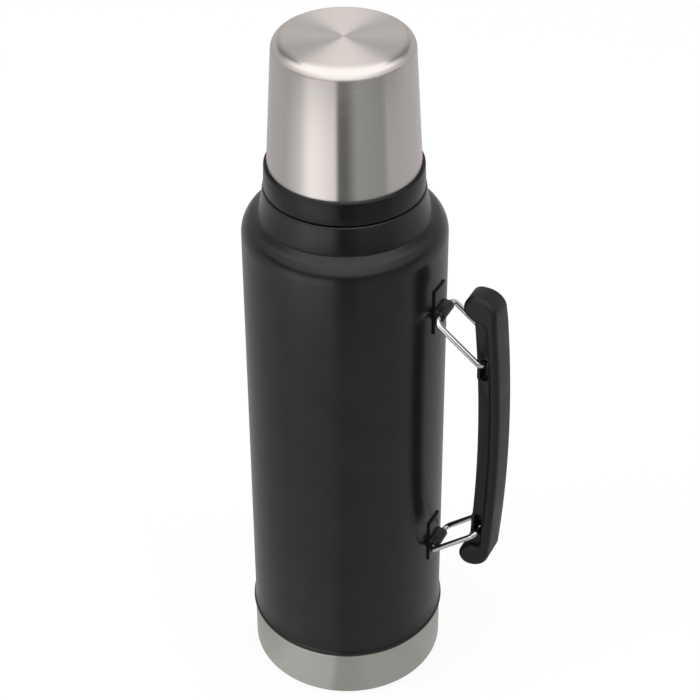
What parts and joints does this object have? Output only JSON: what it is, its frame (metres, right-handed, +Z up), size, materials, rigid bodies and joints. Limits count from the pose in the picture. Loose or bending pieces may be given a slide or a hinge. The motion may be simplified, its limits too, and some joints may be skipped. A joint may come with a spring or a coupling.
{
  "type": "vacuum insulated bottle",
  "caption": "Tall double-walled steel bottle with a coated body, a bare steel base, a screw stopper under an upturned steel cup, and a bowed side handle that folds in on wire links.",
  "frame": {"origin": "on the bottle's axis, in the plane of the ring that it stands on", "axes": "+Z up along the bottle's axis, +X towards the handle, -Y towards the plain front"},
  "size_m": [0.1364, 0.1012, 0.3647],
  "materials": {
    "coat": "satin black powder coat",
    "steel": "brushed round the axis",
    "liner_steel": "electropolished",
    "wire": "bright",
    "screw_steel": "plain",
    "moulding": "satin moulded",
    "grip": "fine moulded texture",
    "silicone": "plain silicone",
    "foam": "closed-cell foam",
    "foil": "copper-coated foil",
    "bead": "brazed bead",
    "getter": "sintered pill"
  },
  "bodies": {
    "vessel": {"outer_shell": "coat", "base_cup": "steel", "shell_base": "liner_steel", "seal_bead": "bead", "getter": "getter", "inner_liner": "liner_steel", "liner_base": "liner_steel", "liner_foil": "foil", "neck_collar": "moulding", "collar_gasket": "silicone", "upper_bracket": "coat", "lower_bracket": "coat"},
    "handle": {"handle_grip": "grip", "handle_inner": "grip", "handle_screws": "screw_steel"},
    "upper_link": {"upper_bail": "wire"},
    "lower_link": {"lower_bail": "wire"},
    "stopper_core": {"stopper_foam": "foam"},
    "stopper": {"stopper_body": "moulding", "stopper_knob": "moulding", "stopper_gasket": "silicone"},
    "cup_core": {"cup_insulation": "foam"},
    "cup": {"cup_shell": "steel", "cup_ring": "moulding", "cup_liner": "moulding"}
  },
  "joints": [
    {"name": "handle_fold", "type": "slide", "parent": "vessel", "child": "handle", "axis": [-1, 0, 0], "range_m": [0, 0.0115]},
    {"name": "upper_link_swing", "type": "hinge", "parent": "vessel", "child": "upper_link", "pos_m": [0.0523, 0, 0.2302], "axis": [0, 1, 0], "range_deg": [0, 28]},
    {"name": "lower_link_swing", "type": "hinge", "parent": "vessel", "child": "lower_link", "pos_m": [0.0523, 0, 0.0859], "axis": [0, -1, 0], "range_deg": [0, 28]},
    {"name": "stopper_lift", "type": "slide", "parent": "vessel", "child": "stopper_core", "axis": [0, 0, 1], "range_m": [0, 0.06]},
    {"name": "stopper_turn", "type": "hinge", "parent": "stopper_core", "child": "stopper", "pos_m": [0, 0, 0.3], "axis": [0, 0, 1], "range_deg": [0, 630]},
    {"name": "cup_lift", "type": "slide", "parent": "stopper_core", "child": "cup_core", "axis": [0, 0, 1], "range_m": [0, 0.09]},
    {"name": "cup_turn", "type": "hinge", "parent": "cup_core", "child": "cup", "pos_m": [0, 0, 0.3], "axis": [0, 0, 1], "range_deg": [0, 360]}
  ],
  "couplings": [
    {"joint": "upper_link_swing", "follows": "handle_fold", "rad_per_m": 42.389},
    {"joint": "lower_link_swing", "follows": "handle_fold", "rad_per_m": 42.389}
  ]
}
